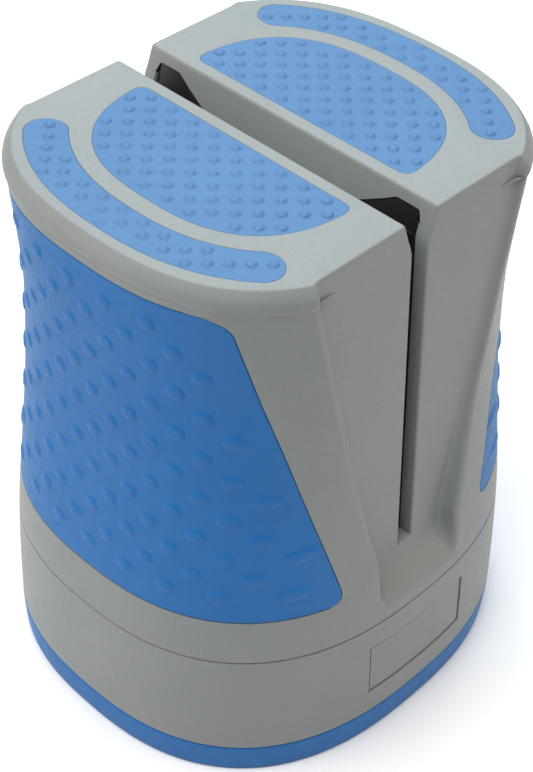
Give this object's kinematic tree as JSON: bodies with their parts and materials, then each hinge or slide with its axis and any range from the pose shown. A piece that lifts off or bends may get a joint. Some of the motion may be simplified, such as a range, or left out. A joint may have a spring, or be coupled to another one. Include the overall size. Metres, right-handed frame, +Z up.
{
  "type": "skate sharpener",
  "caption": "Hand-held skate blade sharpener: padded twin-tower body with a deep blade slot over a sprung hone, V-shaped end faces and a rubber-footed base.",
  "frame": {"origin": "centre of the footprint, on the surface the foot band stands on", "axes": "+Z up out of the slot's mouth, the blade slot runs along Y, the two towers lie to -X and +X"},
  "size_m": [0.1128, 0.104, 0.1356],
  "materials": {
    "grey_shell": "fine moulded texture, satin",
    "blue_rubber": "soft-touch overmoulded rubber, matt",
    "black_plastic": "smooth black acetal, low sheen",
    "hone_steel": "fine grit coating on steel",
    "spring_steel": "drawn spring steel",
    "screw_steel": "zinc-plated steel"
  },
  "bodies": {
    "base": {"tower_frame_right": "grey_shell", "tower_frame_left": "grey_shell", "deck": "grey_shell", "lower_housing": "grey_shell", "side_shell_right": "grey_shell", "side_shell_left": "grey_shell", "foot_band": "blue_rubber", "side_grip_right": "blue_rubber", "side_grip_left": "blue_rubber", "palm_pad_right": "blue_rubber", "palm_pad_left": "blue_rubber", "arc_pad_right": "blue_rubber", "arc_pad_left": "blue_rubber", "base_plate": "black_plastic", "slot_liner_right": "black_plastic", "slot_liner_left": "black_plastic", "chassis": "black_plastic", "carriage_spring_front": "spring_steel", "carriage_spring_back": "spring_steel", "base_screw_1": "screw_steel", "base_screw_2": "screw_steel", "base_screw_3": "screw_steel", "base_screw_4": "screw_steel", "chassis_screw_1": "screw_steel", "chassis_screw_2": "screw_steel", "chassis_screw_3": "screw_steel", "chassis_screw_4": "screw_steel", "tower_screw_1": "screw_steel", "tower_screw_2": "screw_steel", "tower_screw_3": "screw_steel", "tower_screw_4": "screw_steel"},
    "carriage": {"hone_carriage": "black_plastic", "hone_clip_front": "spring_steel", "hone_clip_back": "spring_steel"},
    "hone": {"hone_rod": "hone_steel"}
  },
  "joints": [
    {"name": "carriage_slide", "type": "slide", "parent": "base", "child": "carriage", "axis": [0, 0, -1], "range_m": [0, 0.003], "stiffness_N_per_m": 4000, "springref_m": -0.0015, "deforming": ["carriage_spring_front", "carriage_spring_back"]},
    {"name": "hone_turn", "type": "hinge", "parent": "carriage", "child": "hone", "pos_m": [0, 0, 0.04465], "axis": [0, 1, 0], "continuous": true}
  ]
}
